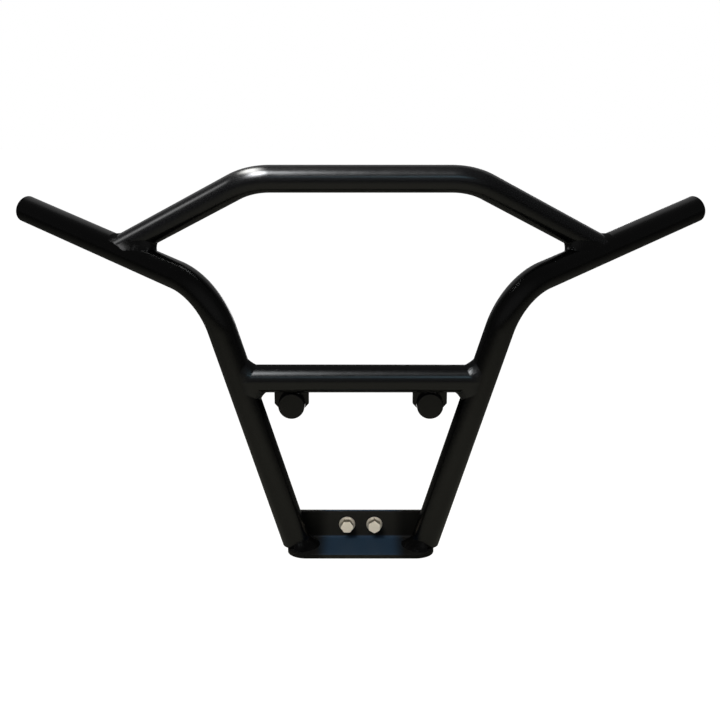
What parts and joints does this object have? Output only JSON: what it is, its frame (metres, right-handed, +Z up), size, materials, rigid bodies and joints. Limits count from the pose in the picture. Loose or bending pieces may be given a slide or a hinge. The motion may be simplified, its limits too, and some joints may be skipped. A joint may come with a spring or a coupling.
{
  "type": "atv front bumper",
  "caption": "Front bumper for a quad bike: bent black tube with swept wings, a raised top hoop, a cross tube, rearward mounting arms and a folded base plate with its bolts.",
  "frame": {"origin": "centre of the base plate's rear face, midway between its bolt holes", "axes": "+X to the right seen from the front, +Y back to the vehicle, +Z up"},
  "size_m": [0.9082, 0.2285, 0.4872],
  "materials": {
    "powder_coat": "satin black powder coat with a fine orange-peel texture",
    "zinc_steel": "bright zinc plate",
    "plug_plastic": "moulded black polyethylene"
  },
  "bodies": {
    "root": {"base_plate": "powder_coat", "top_hoop": "powder_coat", "cross_tube": "powder_coat", "side_tube_left": "powder_coat", "arm_tube_left": "powder_coat", "arm_disc_left": "powder_coat", "arm_yoke_left": "powder_coat", "side_tube_right": "powder_coat", "arm_tube_right": "powder_coat", "arm_disc_right": "powder_coat", "arm_yoke_right": "powder_coat", "hoop_weld_left": "powder_coat", "cross_weld_left": "powder_coat", "foot_weld_left": "powder_coat", "yoke_weld_left": "powder_coat", "arm_weld_left_a": "powder_coat", "arm_weld_left_b": "powder_coat", "hoop_weld_right": "powder_coat", "cross_weld_right": "powder_coat", "foot_weld_right": "powder_coat", "yoke_weld_right": "powder_coat", "arm_weld_right_a": "powder_coat", "arm_weld_right_b": "powder_coat", "base_bolt_left": "zinc_steel", "base_washer_left": "zinc_steel", "base_nut_left": "zinc_steel", "arm_bush_left": "zinc_steel", "base_bolt_right": "zinc_steel", "base_washer_right": "zinc_steel", "base_nut_right": "zinc_steel", "arm_bush_right": "zinc_steel", "wing_plug_left": "plug_plastic", "wing_plug_right": "plug_plastic"}
  },
  "joints": []
}
